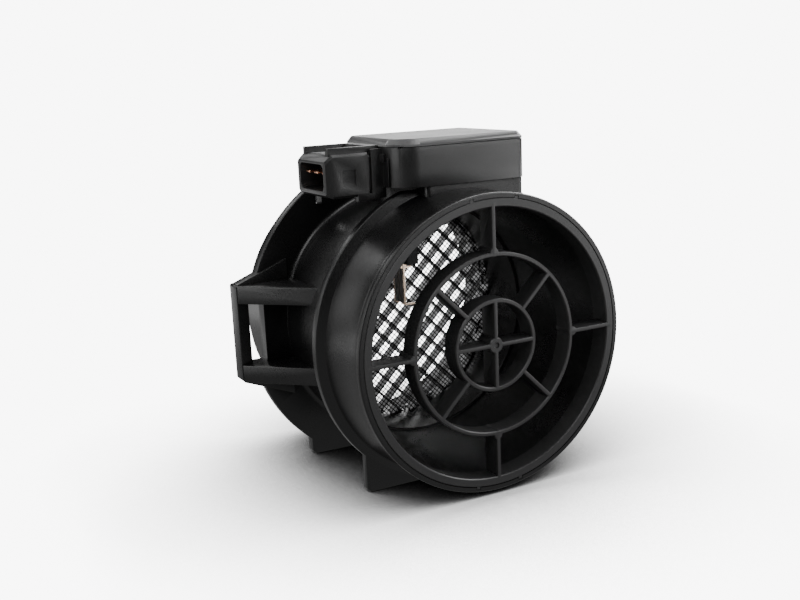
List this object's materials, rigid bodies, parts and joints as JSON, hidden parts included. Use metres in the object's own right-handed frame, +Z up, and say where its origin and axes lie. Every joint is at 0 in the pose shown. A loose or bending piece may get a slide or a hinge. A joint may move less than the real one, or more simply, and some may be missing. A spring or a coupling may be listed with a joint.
{
  "type": "mass airflow sensor",
  "caption": "Mass airflow sensor: round plastic flow tube with a ringed outlet grille, wire screen, clip loops, feet and a top electronics case with a side connector.",
  "frame": {"origin": "on the flow tube's axis, in the plane of the outlet rim's end face", "axes": "+Y along the tube axis from the outlet to the air-box end, +Z up towards the electronics case, +X to the right seen from the outlet"},
  "size_m": [0.1226, 0.0918, 0.1132],
  "materials": {
    "tube_plastic": "fine moulded texture, satin",
    "grille_plastic": "smooth moulded, satin",
    "case_plastic": "fine moulded texture",
    "lid_plastic": "fine matt texture",
    "screen_wire": "woven fine wire",
    "grid_strip": "thin rolled strip",
    "spring_steel": "dull spring steel",
    "seal_rubber": "moulded rubber",
    "board_laminate": "solder-mask laminate",
    "chip_resin": "moulded resin",
    "capacitor_ceramic": "fired ceramic with tinned ends",
    "stem_plastic": "smooth moulded",
    "film_ceramic": "printed ceramic film",
    "gilt_prong": "gilt strip",
    "copper_terminal": "bright copper alloy"
  },
  "bodies": {
    "root": {"housing": "tube_plastic", "outlet_grille": "grille_plastic", "wire_screen": "screen_wire", "flow_grid": "grid_strip", "retaining_ring": "spring_steel", "inlet_seal": "seal_rubber", "electronics_case": "case_plastic", "case_lid": "lid_plastic", "lid_seal": "seal_rubber", "circuit_board": "board_laminate", "signal_chip": "chip_resin", "power_transistor": "chip_resin", "board_capacitors": "capacitor_ceramic", "sensor_stem": "stem_plastic", "stem_seal": "seal_rubber", "hot_film": "film_ceramic", "temperature_film": "film_ceramic", "hot_film_upper_prong": "gilt_prong", "hot_film_lower_prong": "gilt_prong", "temperature_film_upper_prong": "gilt_prong", "temperature_film_lower_prong": "gilt_prong", "terminal_1": "copper_terminal", "terminal_2": "copper_terminal", "terminal_3": "copper_terminal"}
  },
  "joints": []
}
